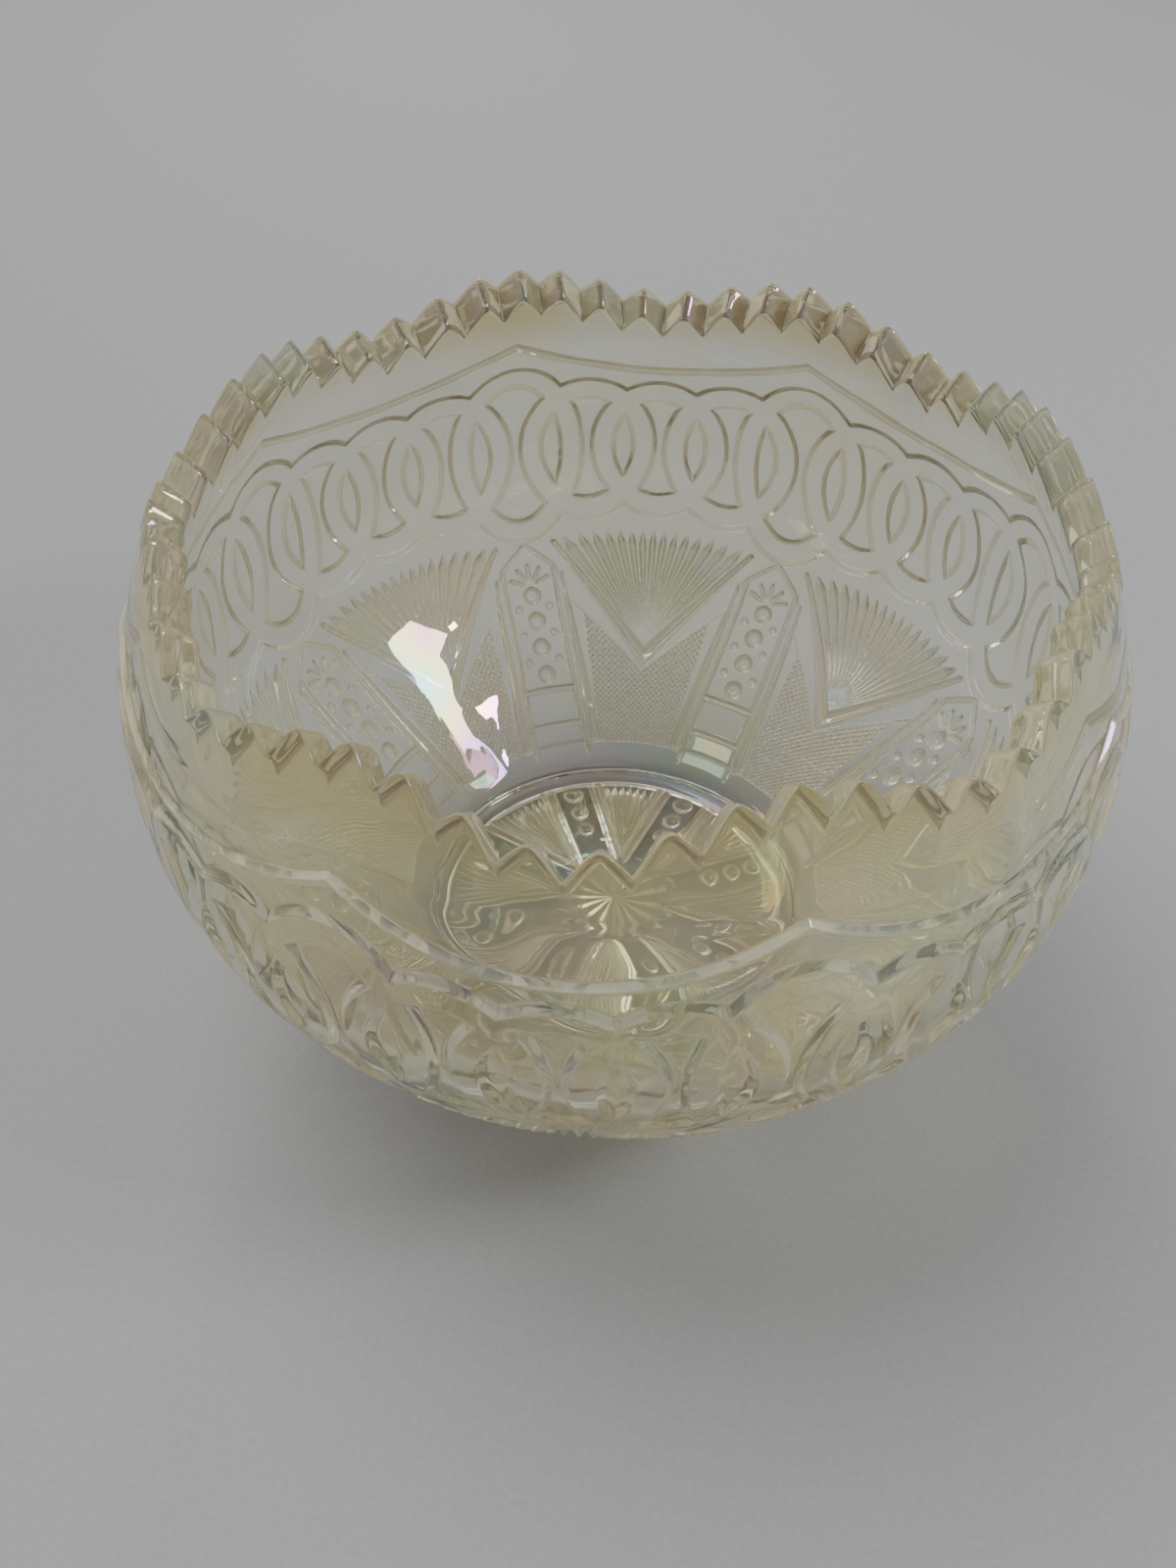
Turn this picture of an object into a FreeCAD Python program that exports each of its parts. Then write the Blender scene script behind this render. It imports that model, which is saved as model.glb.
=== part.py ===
import FreeCAD, Part
import math
import os

# A deep pressed-glass bowl, millimetres, +Z up.  The origin is the middle of the
# foot, on the plane that the bowl stands on.  The glass is one continuous body:
# each node is one moulded zone of it, and neighbours meet face to face.
# Azimuths are in degrees from +Y towards +X; a panel's middle is at azimuth 0.

# Driving dimensions
RIM_RADIUS = 84.0        # outer edge of the rim, at its mean height
RIM_HEIGHT = 122.0       # mean height of the tooth tips
BELLY_RADIUS = 95.0      # widest plain wall
BELLY_HEIGHT = 77.0      # height of the widest wall
FLARE_ARC = 60.0         # arc from the straight flare up to the belly
FLARE_ANGLE = 47.0       # where that arc starts, degrees below horizontal
FOOT_RADIUS = 46.0       # outside of the standing ring
FOOT_WIDTH = 5.0
WALL = 7.0               # glass thickness, all the way up
FLOOR_TOP = 9.0          # inside of the bowl's floor
FLOOR_UNDERSIDE = 2.5    # underside of the floor, inside the standing ring
FLOOR_BLEND = 16.0       # inside arc between the floor and the flare

# Heights where one zone ends and the next begins
PANEL_TOP = 49.0
CHAIN_TOP = 93.0
COLLAR_TOP = 107.0

PANELS = 8
SECTOR = 360.0 / PANELS
RELIEF = 1.2             # how far the pressed pattern stands out

# Rim teeth
TEETH_PER_PANEL = 7
TOOTH_DEPTH = 5.0
TOOTH_CREST = 2.2        # flat left on top of each tooth
TOOTH_FALL = 0.72        # crests and gaps fall this much for each millimetre inwards
SCALLOP = 3.7            # rise and fall of the rim about its mean height

# Chain of rings: the one above a column is the tallest
RINGS_PER_PANEL = 4
RING_BAND = 5.5
RING_HALF_WIDTH = 16.9
RING_HEIGHT = 73.0
RING_HALF_HEIGHTS = (18.6, 19.5, 24.0, 19.5)

# Eight-sided line round the collar
BORDER_WIDTH = 2.0
BORDER_CORNER = 104.0
BORDER_MIDDLE = 95.4
BORDER_SPANS = 3         # straight pieces in half a side

# Fan panels and bead columns
RIDGE_WIDTH = 2.4
V_TIP_HEIGHT = 26.5
V_TOP_HEIGHT = 48.0
V_HALF_SPREAD = 16.6
SIDE_RIDGE_WIDTH = 1.6
SIDE_RIDGE_FOOT = (12.0, 11.5)    # azimuth from the panel's middle, and height
SIDE_RIDGE_TOP = (15.6, 40.0)
COLUMN_HALF_WIDTH = 6.8
COLUMN_FOOT = 11.5
COLUMN_SHOULDER = 43.0
COLUMN_APEX = 47.5
BEAD_RADIUS = 2.1
BEAD_HEIGHTS = (37.2, 32.4, 27.6, 22.7)
STEP_HEIGHTS = (18.6, 12.8)
STEP_THICKNESS = 1.6

# Star under the floor
STAR_RELIEF = 1.0
STAR_RIB_WIDTH = 2.6
STAR_RADIUS = 40.0
STAR_HUB = 8.0

# Derived
TOP = RIM_HEIGHT + SCALLOP + 1.0
REACH = BELLY_RADIUS + 15.0
LEAN_ARC = ((RIM_HEIGHT - BELLY_HEIGHT) ** 2 + (BELLY_RADIUS - RIM_RADIUS) ** 2) / (
    2.0 * (BELLY_RADIUS - RIM_RADIUS))
FLARE_CENTRE = BELLY_RADIUS - FLARE_ARC
LEAN_CENTRE = BELLY_RADIUS - LEAN_ARC
FLARE_SLOPE = math.tan(math.radians(FLARE_ANGLE))
TEETH = PANELS * TEETH_PER_PANEL

ORIGIN = FreeCAD.Vector(0, 0, 0)
Z_AXIS = FreeCAD.Vector(0, 0, 1)


def at(radius, height):
    """A point of the half section, in the XZ plane."""
    return FreeCAD.Vector(radius, 0, height)


def direction(azimuth):
    """The unit vector away from the axis at an azimuth."""
    turn = math.radians(azimuth)
    return FreeCAD.Vector(math.sin(turn), math.cos(turn), 0)


def sideways(azimuth):
    """The unit vector along the wall, towards larger azimuths."""
    turn = math.radians(azimuth)
    return FreeCAD.Vector(math.cos(turn), -math.sin(turn), 0)


def wall_radius(height, out=0.0):
    """Radius of the plain outer wall, moved outwards by out."""
    rise = height - BELLY_HEIGHT
    if rise >= 0:
        return LEAN_CENTRE + math.sqrt((LEAN_ARC + out) ** 2 - rise ** 2)
    arc = FLARE_ARC + out
    arc_drop = arc * math.sin(math.radians(FLARE_ANGLE))
    if -rise < arc_drop:
        return FLARE_CENTRE + math.sqrt(arc ** 2 - rise ** 2)
    arc_side = arc * math.cos(math.radians(FLARE_ANGLE))
    return FLARE_CENTRE + arc_side - (-rise - arc_drop) * FLARE_SLOPE


def height_on_flare(radius):
    """Height at which the straight flare has this radius."""
    drop = FLARE_ARC * math.sin(math.radians(FLARE_ANGLE))
    side = FLARE_CENTRE + FLARE_ARC * math.cos(math.radians(FLARE_ANGLE))
    return BELLY_HEIGHT - drop - (side - radius) / FLARE_SLOPE


def on_arc(centre, radius, degrees):
    """A point on a section arc whose centre is at belly height."""
    turn = math.radians(degrees)
    return at(centre + radius * math.cos(turn), BELLY_HEIGHT + radius * math.sin(turn))


def wall_edges(out, start):
    """The wall line moved outwards by out, from the section point start to TOP."""
    arc = FLARE_ARC + out
    lean = LEAN_ARC + out
    top_angle = math.degrees(math.asin((TOP - BELLY_HEIGHT) / lean))
    flare_end = on_arc(FLARE_CENTRE, arc, -FLARE_ANGLE)
    flare_middle = on_arc(FLARE_CENTRE, arc, -FLARE_ANGLE / 2.0)
    belly = at(BELLY_RADIUS + out, BELLY_HEIGHT)
    lean_middle = on_arc(LEAN_CENTRE, lean, top_angle / 2.0)
    top = on_arc(LEAN_CENTRE, lean, top_angle)
    return [
        Part.makeLine(start, flare_end),
        Part.Arc(flare_end, flare_middle, belly).toShape(),
        Part.Arc(belly, lean_middle, top).toShape(),
    ]


def turned(edges):
    """Turn a closed section outline about the axis."""
    return Part.Face(Part.Wire(edges)).revolve(ORIGIN, Z_AXIS, 360.0)


def outside():
    """Everything inside the plain outer surface, filled."""
    foot_top = at(FOOT_RADIUS, height_on_flare(FOOT_RADIUS))
    walls = wall_edges(0.0, foot_top)
    top = at(wall_radius(TOP), TOP)
    return turned([
        Part.makeLine(at(0, 0), at(FOOT_RADIUS, 0)),
        Part.makeLine(at(FOOT_RADIUS, 0), foot_top),
        *walls,
        Part.makeLine(top, at(0, TOP)),
        Part.makeLine(at(0, TOP), at(0, 0)),
    ])


def inside():
    """The hollow: flat floor, blend, and a wall parallel to the outer one."""
    corner = wall_radius(FLOOR_TOP, -WALL)
    rise = math.radians(90.0 - FLARE_ANGLE)
    tangent = FLOOR_BLEND * math.tan(rise / 2.0)
    blend_start = at(corner - tangent, FLOOR_TOP)
    blend_end = at(corner + tangent * math.cos(rise), FLOOR_TOP + tangent * math.sin(rise))
    blend_middle = at(
        corner - tangent + FLOOR_BLEND * math.sin(rise / 2.0),
        FLOOR_TOP + FLOOR_BLEND * (1.0 - math.cos(rise / 2.0)))
    walls = wall_edges(-WALL, blend_end)
    top = at(wall_radius(TOP, -WALL), TOP)
    return turned([
        Part.makeLine(at(0, FLOOR_TOP), blend_start),
        Part.Arc(blend_start, blend_middle, blend_end).toShape(),
        *walls,
        Part.makeLine(top, at(0, TOP)),
        Part.makeLine(at(0, TOP), at(0, FLOOR_TOP)),
    ])


def pattern_skin(low, high):
    """The layer that the raised pattern fills, between two heights."""
    root = -RELIEF
    inner_start = at(wall_radius(FLOOR_TOP, root), FLOOR_TOP)
    outer_start = at(wall_radius(FLOOR_TOP, RELIEF), FLOOR_TOP)
    inner_top = at(wall_radius(TOP, root), TOP)
    outer_top = at(wall_radius(TOP, RELIEF), TOP)
    layer = turned([
        Part.makeLine(inner_start, outer_start),
        *wall_edges(RELIEF, outer_start),
        Part.makeLine(outer_top, inner_top),
        *wall_edges(root, inner_start),
    ])
    return layer.common(slab(low, high))


def slab(low, high, radius=REACH):
    """A thick disc between two heights."""
    return Part.makeCylinder(radius, high - low, FreeCAD.Vector(0, 0, low))


def radial_prism(outline, azimuth, start, rise=0.0):
    """Push an outline of (sideways, height) points away from the axis, rising as it goes."""
    away = direction(azimuth)
    across = sideways(azimuth)
    corners = [away * start + across * side + Z_AXIS * height for side, height in outline]
    push = (away + Z_AXIS * rise) * (REACH - start)
    return Part.Face(Part.makePolygon(corners + corners[:1])).extrude(push)


def radial_oval(half_width, half_height, azimuth, height):
    """An oval bar that points away from the axis."""
    away = direction(azimuth)
    start = away * (FOOT_RADIUS + 5.0)
    centre = start + Z_AXIS * height
    end_of_long = centre + Z_AXIS * half_height
    end_of_short = centre + sideways(azimuth) * half_width
    oval = Part.Ellipse(end_of_long, end_of_short, centre).toShape()
    return Part.Face(Part.Wire(oval)).extrude(away * (REACH - FOOT_RADIUS - 5.0))


def radial_bar(first, second, width):
    """A straight radial bar between two (azimuth, height) points of the wall."""
    middle = (first[0] + second[0]) / 2.0
    sides = [wall_radius(height) * math.sin(math.radians(azimuth - middle))
             for azimuth, height in (first, second)]
    run = sides[1] - sides[0]
    rise = second[1] - first[1]
    length = math.hypot(run, rise)
    shift_side = rise / length * width / 2.0
    shift_rise = run / length * width / 2.0
    outline = [
        (sides[0] - shift_side, first[1] + shift_rise),
        (sides[1] - shift_side, second[1] + shift_rise),
        (sides[1] + shift_side, second[1] - shift_rise),
        (sides[0] + shift_side, first[1] - shift_rise),
    ]
    return radial_prism(outline, middle, FOOT_RADIUS - 10.0)


def fused(shapes):
    """One shape from several that cross or stand apart."""
    return shapes[0].multiFuse(shapes[1:])


def with_pattern(zone, tools, low, high):
    """Add the raised pattern that the radial tools cut from the skin."""
    raised = pattern_skin(low, high).common(fused(tools))
    return zone.fuse(raised).removeSplitter()


def chain_rings(first=0, step=1):
    """Overlapping oval rings, RINGS_PER_PANEL to a panel, as radial tubes."""
    rings = []
    for place in range(first, PANELS * RINGS_PER_PANEL, step):
        azimuth = place * SECTOR / RINGS_PER_PANEL
        half_height = RING_HALF_HEIGHTS[place % RINGS_PER_PANEL]
        outer = radial_oval(RING_HALF_WIDTH, half_height, azimuth, RING_HEIGHT)
        inner = radial_oval(RING_HALF_WIDTH - RING_BAND, half_height - RING_BAND,
                            azimuth, RING_HEIGHT)
        rings.append(outer.cut(inner))
    return rings


def border_bars():
    """The eight-sided line: each side sags in a parabola between its corners."""
    half_side = SECTOR / 2.0
    steps = [half_side * step / BORDER_SPANS for step in range(-BORDER_SPANS, BORDER_SPANS + 1)]
    bars = []
    for panel in range(PANELS):
        points = [(panel * SECTOR + step,
                   BORDER_MIDDLE + (BORDER_CORNER - BORDER_MIDDLE) * (step / half_side) ** 2)
                  for step in steps]
        bars += [radial_bar(first, second, BORDER_WIDTH)
                 for first, second in zip(points, points[1:])]
    return bars


def panel_tools():
    """The V under each fan, and the edges, beads and steps of each column."""
    tools = []
    for panel in range(PANELS):
        middle = panel * SECTOR
        column = middle + SECTOR / 2.0
        tip = (middle, V_TIP_HEIGHT)
        for side in (-1, 1):
            top = (middle + side * V_HALF_SPREAD, V_TOP_HEIGHT)
            tools.append(radial_bar(tip, top, RIDGE_WIDTH))
            tools.append(radial_bar((middle + side * SIDE_RIDGE_FOOT[0], SIDE_RIDGE_FOOT[1]),
                                    (middle + side * SIDE_RIDGE_TOP[0], SIDE_RIDGE_TOP[1]),
                                    SIDE_RIDGE_WIDTH))
            foot_turn = math.degrees(COLUMN_HALF_WIDTH / wall_radius(COLUMN_FOOT))
            top_turn = math.degrees(COLUMN_HALF_WIDTH / wall_radius(COLUMN_SHOULDER))
            shoulder = (column + side * top_turn, COLUMN_SHOULDER)
            tools.append(radial_bar((column + side * foot_turn, COLUMN_FOOT), shoulder,
                                    RIDGE_WIDTH))
            tools.append(radial_bar(shoulder, (column, COLUMN_APEX), RIDGE_WIDTH))
        for height in BEAD_HEIGHTS:
            tools.append(radial_oval(BEAD_RADIUS, BEAD_RADIUS + 0.1, column, height))
        for height in STEP_HEIGHTS:
            outline = [
                (-COLUMN_HALF_WIDTH, height - STEP_THICKNESS / 2.0),
                (COLUMN_HALF_WIDTH, height - STEP_THICKNESS / 2.0),
                (COLUMN_HALF_WIDTH, height + STEP_THICKNESS / 2.0),
                (-COLUMN_HALF_WIDTH, height + STEP_THICKNESS / 2.0),
            ]
            tools.append(radial_prism(outline, column, FOOT_RADIUS - 10.0))
    return tools


def tip_height(azimuth):
    """Height of the tooth tips: low over a panel's middle, high over a column."""
    return RIM_HEIGHT - SCALLOP * math.cos(math.radians(PANELS * azimuth))


def tooth_gap(place):
    """The V between two teeth, and all that lies above their tips, lower towards the inside."""
    pitch = 360.0 / TEETH
    start = RIM_RADIUS - 4.0 * WALL
    azimuth = place * pitch
    half_gap = (RIM_RADIUS * math.radians(pitch) - TOOTH_CREST) / 2.0
    past_crest = half_gap + TOOTH_CREST * 0.6
    left = tip_height(azimuth - pitch / 2.0)
    right = tip_height(azimuth + pitch / 2.0)
    bottom = (left + right) / 2.0 - TOOTH_DEPTH
    outline = [
        (-past_crest, left),
        (-half_gap, left),
        (0.0, bottom),
        (half_gap, right),
        (past_crest, right),
        (past_crest, TOP + 3.0 * WALL),
        (-past_crest, TOP + 3.0 * WALL),
    ]
    fall = TOOTH_FALL * (wall_radius(RIM_HEIGHT) - start)
    lowered = [(side, height - fall) for side, height in outline]
    return radial_prism(lowered, azimuth, start, TOOTH_FALL)


def make_base_star(glass):
    """The floor inside the standing ring, with star ribs on its underside."""
    disc = glass.common(slab(0.0, FLOOR_TOP, FOOT_RADIUS - FOOT_WIDTH))
    hub = Part.makeCylinder(STAR_HUB, STAR_RELIEF + 1.0,
                            FreeCAD.Vector(0, 0, FLOOR_UNDERSIDE - STAR_RELIEF))
    ribs = [hub]
    for place in range(2 * PANELS):
        rib = Part.makeBox(STAR_RIB_WIDTH, STAR_RADIUS - STAR_HUB / 2.0, STAR_RELIEF + 1.0,
                           FreeCAD.Vector(-STAR_RIB_WIDTH / 2.0, STAR_HUB / 2.0,
                                          FLOOR_UNDERSIDE - STAR_RELIEF))
        rib.rotate(ORIGIN, Z_AXIS, place * SECTOR / 2.0 + SECTOR / 4.0)
        ribs.append(rib)
    return disc.fuse(fused(ribs)).removeSplitter()


def make_foot_ring(glass):
    """The ring the bowl stands on, up to the height of its floor."""
    return glass.common(slab(0.0, FLOOR_TOP)).cut(
        slab(0.0, FLOOR_TOP, FOOT_RADIUS - FOOT_WIDTH))


def make_fan_panels(glass):
    """The flared wall: eight fan panels with eight bead columns between them."""
    zone = glass.common(slab(FLOOR_TOP, PANEL_TOP))
    return with_pattern(zone, panel_tools(), FLOOR_TOP + 1.0, PANEL_TOP)


def make_ring_chain(glass):
    """The belly, with the chain of overlapping rings round it."""
    zone = glass.common(slab(PANEL_TOP, CHAIN_TOP))
    return with_pattern(zone, chain_rings(), PANEL_TOP, CHAIN_TOP)


def make_collar(glass):
    """The wall above the chain, with the tall rings' tops and the eight-sided line."""
    zone = glass.common(slab(CHAIN_TOP, COLLAR_TOP))
    tall_rings = chain_rings(RINGS_PER_PANEL // 2, RINGS_PER_PANEL)
    return with_pattern(zone, border_bars() + tall_rings, CHAIN_TOP, COLLAR_TOP)


def make_sawtooth_rim(glass):
    """The scalloped rim and its teeth, whose crests point down towards the axis."""
    zone = glass.common(slab(COLLAR_TOP, TOP))
    return zone.cut([tooth_gap(place) for place in range(TEETH)])


def main():
    os.makedirs("parts", exist_ok=True)
    recess = slab(0.0, FLOOR_UNDERSIDE, FOOT_RADIUS - FOOT_WIDTH)
    glass = outside().cut(inside()).cut(recess)
    makers = {
        "base_star": make_base_star,
        "foot_ring": make_foot_ring,
        "fan_panels": make_fan_panels,
        "ring_chain": make_ring_chain,
        "border_collar": make_collar,
        "sawtooth_rim": make_sawtooth_rim,
    }
    for name, make in makers.items():
        shape = make(glass)
        solids = shape.Solids
        print(name, "solids", len(solids), "valid", shape.isValid(), "faces", len(shape.Faces),
              "volume", round(shape.Volume, 1))
        Part.Compound(solids).exportStep(os.path.join("parts", name + ".step"))


main()
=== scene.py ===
import math

import bpy
import numpy as np
from mathutils import Matrix, Vector


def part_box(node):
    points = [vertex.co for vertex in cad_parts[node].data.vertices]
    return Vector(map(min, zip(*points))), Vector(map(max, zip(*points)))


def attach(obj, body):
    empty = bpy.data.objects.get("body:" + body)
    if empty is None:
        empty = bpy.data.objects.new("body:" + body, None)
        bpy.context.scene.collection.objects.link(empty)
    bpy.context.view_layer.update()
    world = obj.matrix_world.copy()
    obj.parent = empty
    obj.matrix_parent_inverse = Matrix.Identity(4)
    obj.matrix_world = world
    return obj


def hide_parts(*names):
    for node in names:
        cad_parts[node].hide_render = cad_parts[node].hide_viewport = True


# Looks for a deep pressed-glass bowl.  The glass is one skin made of rings of points, from
# the middle of the underside, up the patterned outside, over the toothed rim and down the
# smooth inside.  It is cut into the CAD's six zones.  Shapes are worked out in millimetres.
# Azimuths are in degrees from +Y towards +X; a panel's middle is at azimuth 0.

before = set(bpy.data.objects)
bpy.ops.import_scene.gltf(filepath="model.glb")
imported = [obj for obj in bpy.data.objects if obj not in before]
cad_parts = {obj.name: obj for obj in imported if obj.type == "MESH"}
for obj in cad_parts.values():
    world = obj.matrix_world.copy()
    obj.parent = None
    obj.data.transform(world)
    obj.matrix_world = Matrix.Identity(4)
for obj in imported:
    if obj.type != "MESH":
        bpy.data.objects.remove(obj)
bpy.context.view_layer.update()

MM = 0.001


def top_of(node):
    """Height of a CAD zone's top, in millimetres."""
    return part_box(node)[1].z / MM


# Heights where one zone ends and the next begins, from the frame
FLOOR_TOP = top_of("foot_ring")
PANEL_TOP = top_of("fan_panels")
CHAIN_TOP = top_of("ring_chain")
COLLAR_TOP = top_of("border_collar")
TIP_TOP = top_of("sawtooth_rim")

# The wall's line, as in the CAD
SCALLOP = 3.7
RIM_HEIGHT = TIP_TOP - SCALLOP
RIM_RADIUS = 84.0
BELLY_RADIUS = 95.0
BELLY_HEIGHT = 77.0
FLARE_ARC = 60.0
FLARE_ANGLE = 47.0
FOOT_RADIUS = 46.0
FOOT_WIDTH = 5.0
WALL = 7.0
FLOOR_UNDERSIDE = 2.5
FLOOR_BLEND = 16.0
LEAN_ARC = ((RIM_HEIGHT - BELLY_HEIGHT) ** 2 + (BELLY_RADIUS - RIM_RADIUS) ** 2) / (
    2.0 * (BELLY_RADIUS - RIM_RADIUS))
FLARE_CENTRE = BELLY_RADIUS - FLARE_ARC
LEAN_CENTRE = BELLY_RADIUS - LEAN_ARC

PANELS = 8
SECTOR = 360.0 / PANELS
TEETH_PER_PANEL = 7
COLUMNS_PER_TOOTH = 32
TEETH = PANELS * TEETH_PER_PANEL
COLUMNS = TEETH * COLUMNS_PER_TOOTH

# Rim
TOOTH_DEPTH = 4.3
TOOTH_ROUNDING = 0.35     # share of half a tooth
CREST_FALL = 5.0          # the crests fall this far towards the inside
VALLEY_FALL = 5.8
RIM_ROUNDING = 1.6
WAVINESS = 0.1

# Chain of rings
RING_RELIEF = 1.2
RING_BEVEL = 1.5
RING_BAND = 5.5
RING_HALF_WIDTH = 16.9
RING_HEIGHT = 73.0
RING_STEP = SECTOR / 4.0
RING_HALF_HEIGHTS = (18.6, 19.5, 24.0, 19.5)    # the tall ones are between the columns
RING_LINE_RADIUS = BELLY_RADIUS * 0.965         # where the rings' widths are measured
CHAIN_SPACING = 0.42      # between the mesh's rings of points there

# Line round the collar
BORDER_CORNER = 104.0
BORDER_MIDDLE = 95.4
BORDER_HALF_WIDTH = 1.3
BORDER_RELIEF = 1.2

# Fan panels: (azimuth, height) or height, from the foot upwards
FAN_TIP = 27.2
FAN_CORNER = (17.3, 49.5)
FAN_CROWN = 51.5
FAN_RIBS = 15
FAN_SLOPE = 0.8
FAN_RELIEF = 1.4
FAN_POINT = 5.0           # length of the point that ends each rib
VEE_WIDTH = 3.4           # at the tip, and less by VEE_TAPER at the corner
VEE_TAPER = 2.0
VEE_RELIEF = 1.3
CHEVRON_TIP = 22.8
CHEVRON_RELIEF = 0.55
FIELD_TOP = (12.7, 33.0)
FIELD_FOOT = (10.0, 9.8)
LATTICE_PITCH = SECTOR / 32.0
LATTICE_RELIEF = 1.3      # at the belly's radius
SIDE_RIDGE_TOP = (16.5, 42.0)
SIDE_RIDGE_FOOT = (11.8, 9.5)
SIDE_RIDGE_HALF = 1.9     # half width at the foot, and less by the taper at the top
SIDE_RIDGE_TAPER = 1.3
SIDE_RIDGE_RELIEF = 1.2
THIN_RIDGE_TOP = (17.4, 43.0)
THIN_RIDGE_FOOT = (13.6, 9.5)
THIN_RIDGE_HALF = 0.8
THIN_RIDGE_RELIEF = 0.7

# Bead columns
COLUMN_HALF_WIDTH = 7.0
COLUMN_FOOT = 7.5
COLUMN_SHOULDER = 43.0
COLUMN_APEX = 48.3
FRAME_HALF = 0.9
FRAME_RELIEF = 1.1
GABLE_HALF = 0.8
GABLE_RELIEF = 0.9
SPRAY_FOOT = 39.2         # five short rays under the gable
SPRAY_STEP = 34.0
SPRAY_START = 1.2
SPRAY_REACH = 6.2
RAY_HALF = 0.75
RAY_RELIEF = 1.0
BEAD_HEIGHTS = (37.2, 32.4, 27.6, 22.7)
BEAD_RADIUS = 2.35
BEAD_RELIEF = 1.5
SMALL_BEAD_SIDE = 4.1     # from the column's middle
SMALL_BEAD_RADIUS = 1.1
SMALL_BEAD_RELIEF = 0.7
STEP_HEIGHTS = (20.0, 13.6, 9.9)
STEP_RELIEF = 0.9
STEP_INSET = 0.8
RUNG_HALF = 0.8
RUNG_RELIEF = 1.1

# Star under the floor: radii
STAR_FAN_TIP = 16.0
STAR_FAN_END = 40.0
STAR_FAN_HALF = 7.6
STAR_RIBS = 7
STAR_RIB_SLOPE = 0.09
STAR_RIB_RELIEF = 1.0
STAR_RIB_POINT = 4.0
STAR_BEADS = ((36.8, 2.5), (30.4, 2.2), (24.4, 1.9))    # (place, size)
STAR_BEAD_RELIEF = 1.4
STAR_HUB = 15.0
STAR_HUB_SLOPE = 0.14
STAR_HUB_RELIEF = 1.1

# Glass: colours, and how much light it scatters, from 0 to 1
CLEAR = (0.96, 0.955, 0.86, 1.0)
PALE_STRAW = (0.92, 0.895, 0.68, 1.0)
# Painted light on one side: the near (−Y) wall gets this straw tint, the look that side has
# under the light.
STRAW = (0.91, 0.87, 0.58, 1.0)
# Painted highlight: the pattern's steep edges and crests are tinted this bright straw and
# hazed, so that they show as bright lines.
EDGE_HIGHLIGHT_TINT = (0.96, 0.91, 0.62, 1.0)
AMBER = (0.82, 0.73, 0.36, 1.0)
STEEP = 34.0              # degrees: a pressed edge this steep gets the most painted highlight
EDGE_HIGHLIGHT_HAZE = 0.56
RIM_EDGE_HIGHLIGHT_HAZE = 0.26
NEAR_EDGE_SHARE = 0.55    # how much of the painted edge highlight the near wall keeps
RIM_HAZE = 0.10
# Painted light on one side: the extra haze of the near (−Y) wall.
NEAR_HAZE = 0.05
MOST_ROUGHNESS = 0.03
FILM_NANOMETRES = (180.0, 420.0)

FLOOR_GREYS = (0.27, 0.33)
FLOOR_SIZE = 12.0
FLOOR_GAP = 0.0002
LIGHTS_AIM = Vector((0.0, 0.0, 0.06))


# ---------------------------------------------------------------- the wall's line

def wall_radius(height, out=0.0):
    """Radius of the plain outer wall, moved outwards by out."""
    rise = np.asarray(height, float) - BELLY_HEIGHT
    arc = FLARE_ARC + out
    arc_drop = arc * math.sin(math.radians(FLARE_ANGLE))
    arc_side = arc * math.cos(math.radians(FLARE_ANGLE))
    lean = LEAN_CENTRE + np.sqrt(np.maximum((LEAN_ARC + out) ** 2 - rise ** 2, 0.0))
    curve = FLARE_CENTRE + np.sqrt(np.maximum(arc ** 2 - rise ** 2, 0.0))
    flare = FLARE_CENTRE + arc_side - (-rise - arc_drop) * math.tan(math.radians(FLARE_ANGLE))
    lower = np.where(-rise < arc_drop, curve, flare)
    return np.where(rise >= 0, lean, lower)


LINE_HEIGHTS = np.linspace(0.0, TIP_TOP + 4.0, 4000)
LINE_RADII = wall_radius(LINE_HEIGHTS)
LINE_LENGTHS = np.concatenate(
    ([0.0], np.cumsum(np.hypot(np.diff(LINE_HEIGHTS), np.diff(LINE_RADII)))))


def along(height):
    """Length up the wall's line to a height."""
    return np.interp(height, LINE_HEIGHTS, LINE_LENGTHS)


def wall_normal(height):
    """Outward (radius, height) parts of the wall's normal."""
    slope = np.interp(height, LINE_HEIGHTS, np.gradient(LINE_RADII, LINE_HEIGHTS))
    size = np.hypot(1.0, slope)
    return 1.0 / size, -slope / size


# ---------------------------------------------------------------- relief shapes

def ridge(distance, half_width, height):
    """A roof-shaped ridge along distance 0."""
    return height * np.clip(1.0 - np.abs(distance) / half_width, 0.0, 1.0)


def plateau(distance, bevel, height):
    """A flat raised area where distance is below 0, with sloped edges."""
    return height * np.clip(0.5 - distance / bevel, 0.0, 1.0)


def bead(distance, radius, height):
    """A round dome."""
    return height * np.sqrt(np.clip(1.0 - (distance / radius) ** 2, 0.0, 1.0))


def line_between(x, y, start, end):
    """Distance to the left of a line, and how far along it from 0 to 1."""
    run = (end[0] - start[0], end[1] - start[1])
    length = math.hypot(*run)
    across = ((x - start[0]) * -run[1] + (y - start[1]) * run[0]) / length
    share = ((x - start[0]) * run[0] + (y - start[1]) * run[1]) / length ** 2
    return across, share


def within(share, low=0.0, high=1.0, fade=0.03):
    """1 between two ends and 0 past them, with a short slope."""
    return np.clip((share - low) / fade, 0.0, 1.0) * np.clip((high - share) / fade, 0.0, 1.0)


def wall_point(place):
    """(sideways, along) of an (azimuth, height) point, from a panel's middle."""
    azimuth, height = place
    return float(wall_radius(height)) * math.radians(azimuth), float(along(height))


def oval_distance(x, y, half_width, half_height):
    """Nearly the distance outwards from an oval."""
    size = np.hypot(x / half_width, y / half_height) + 1e-9
    slope = np.hypot(x / half_width ** 2, y / half_height ** 2) / size + 1e-9
    return (size - 1.0) / slope


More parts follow.
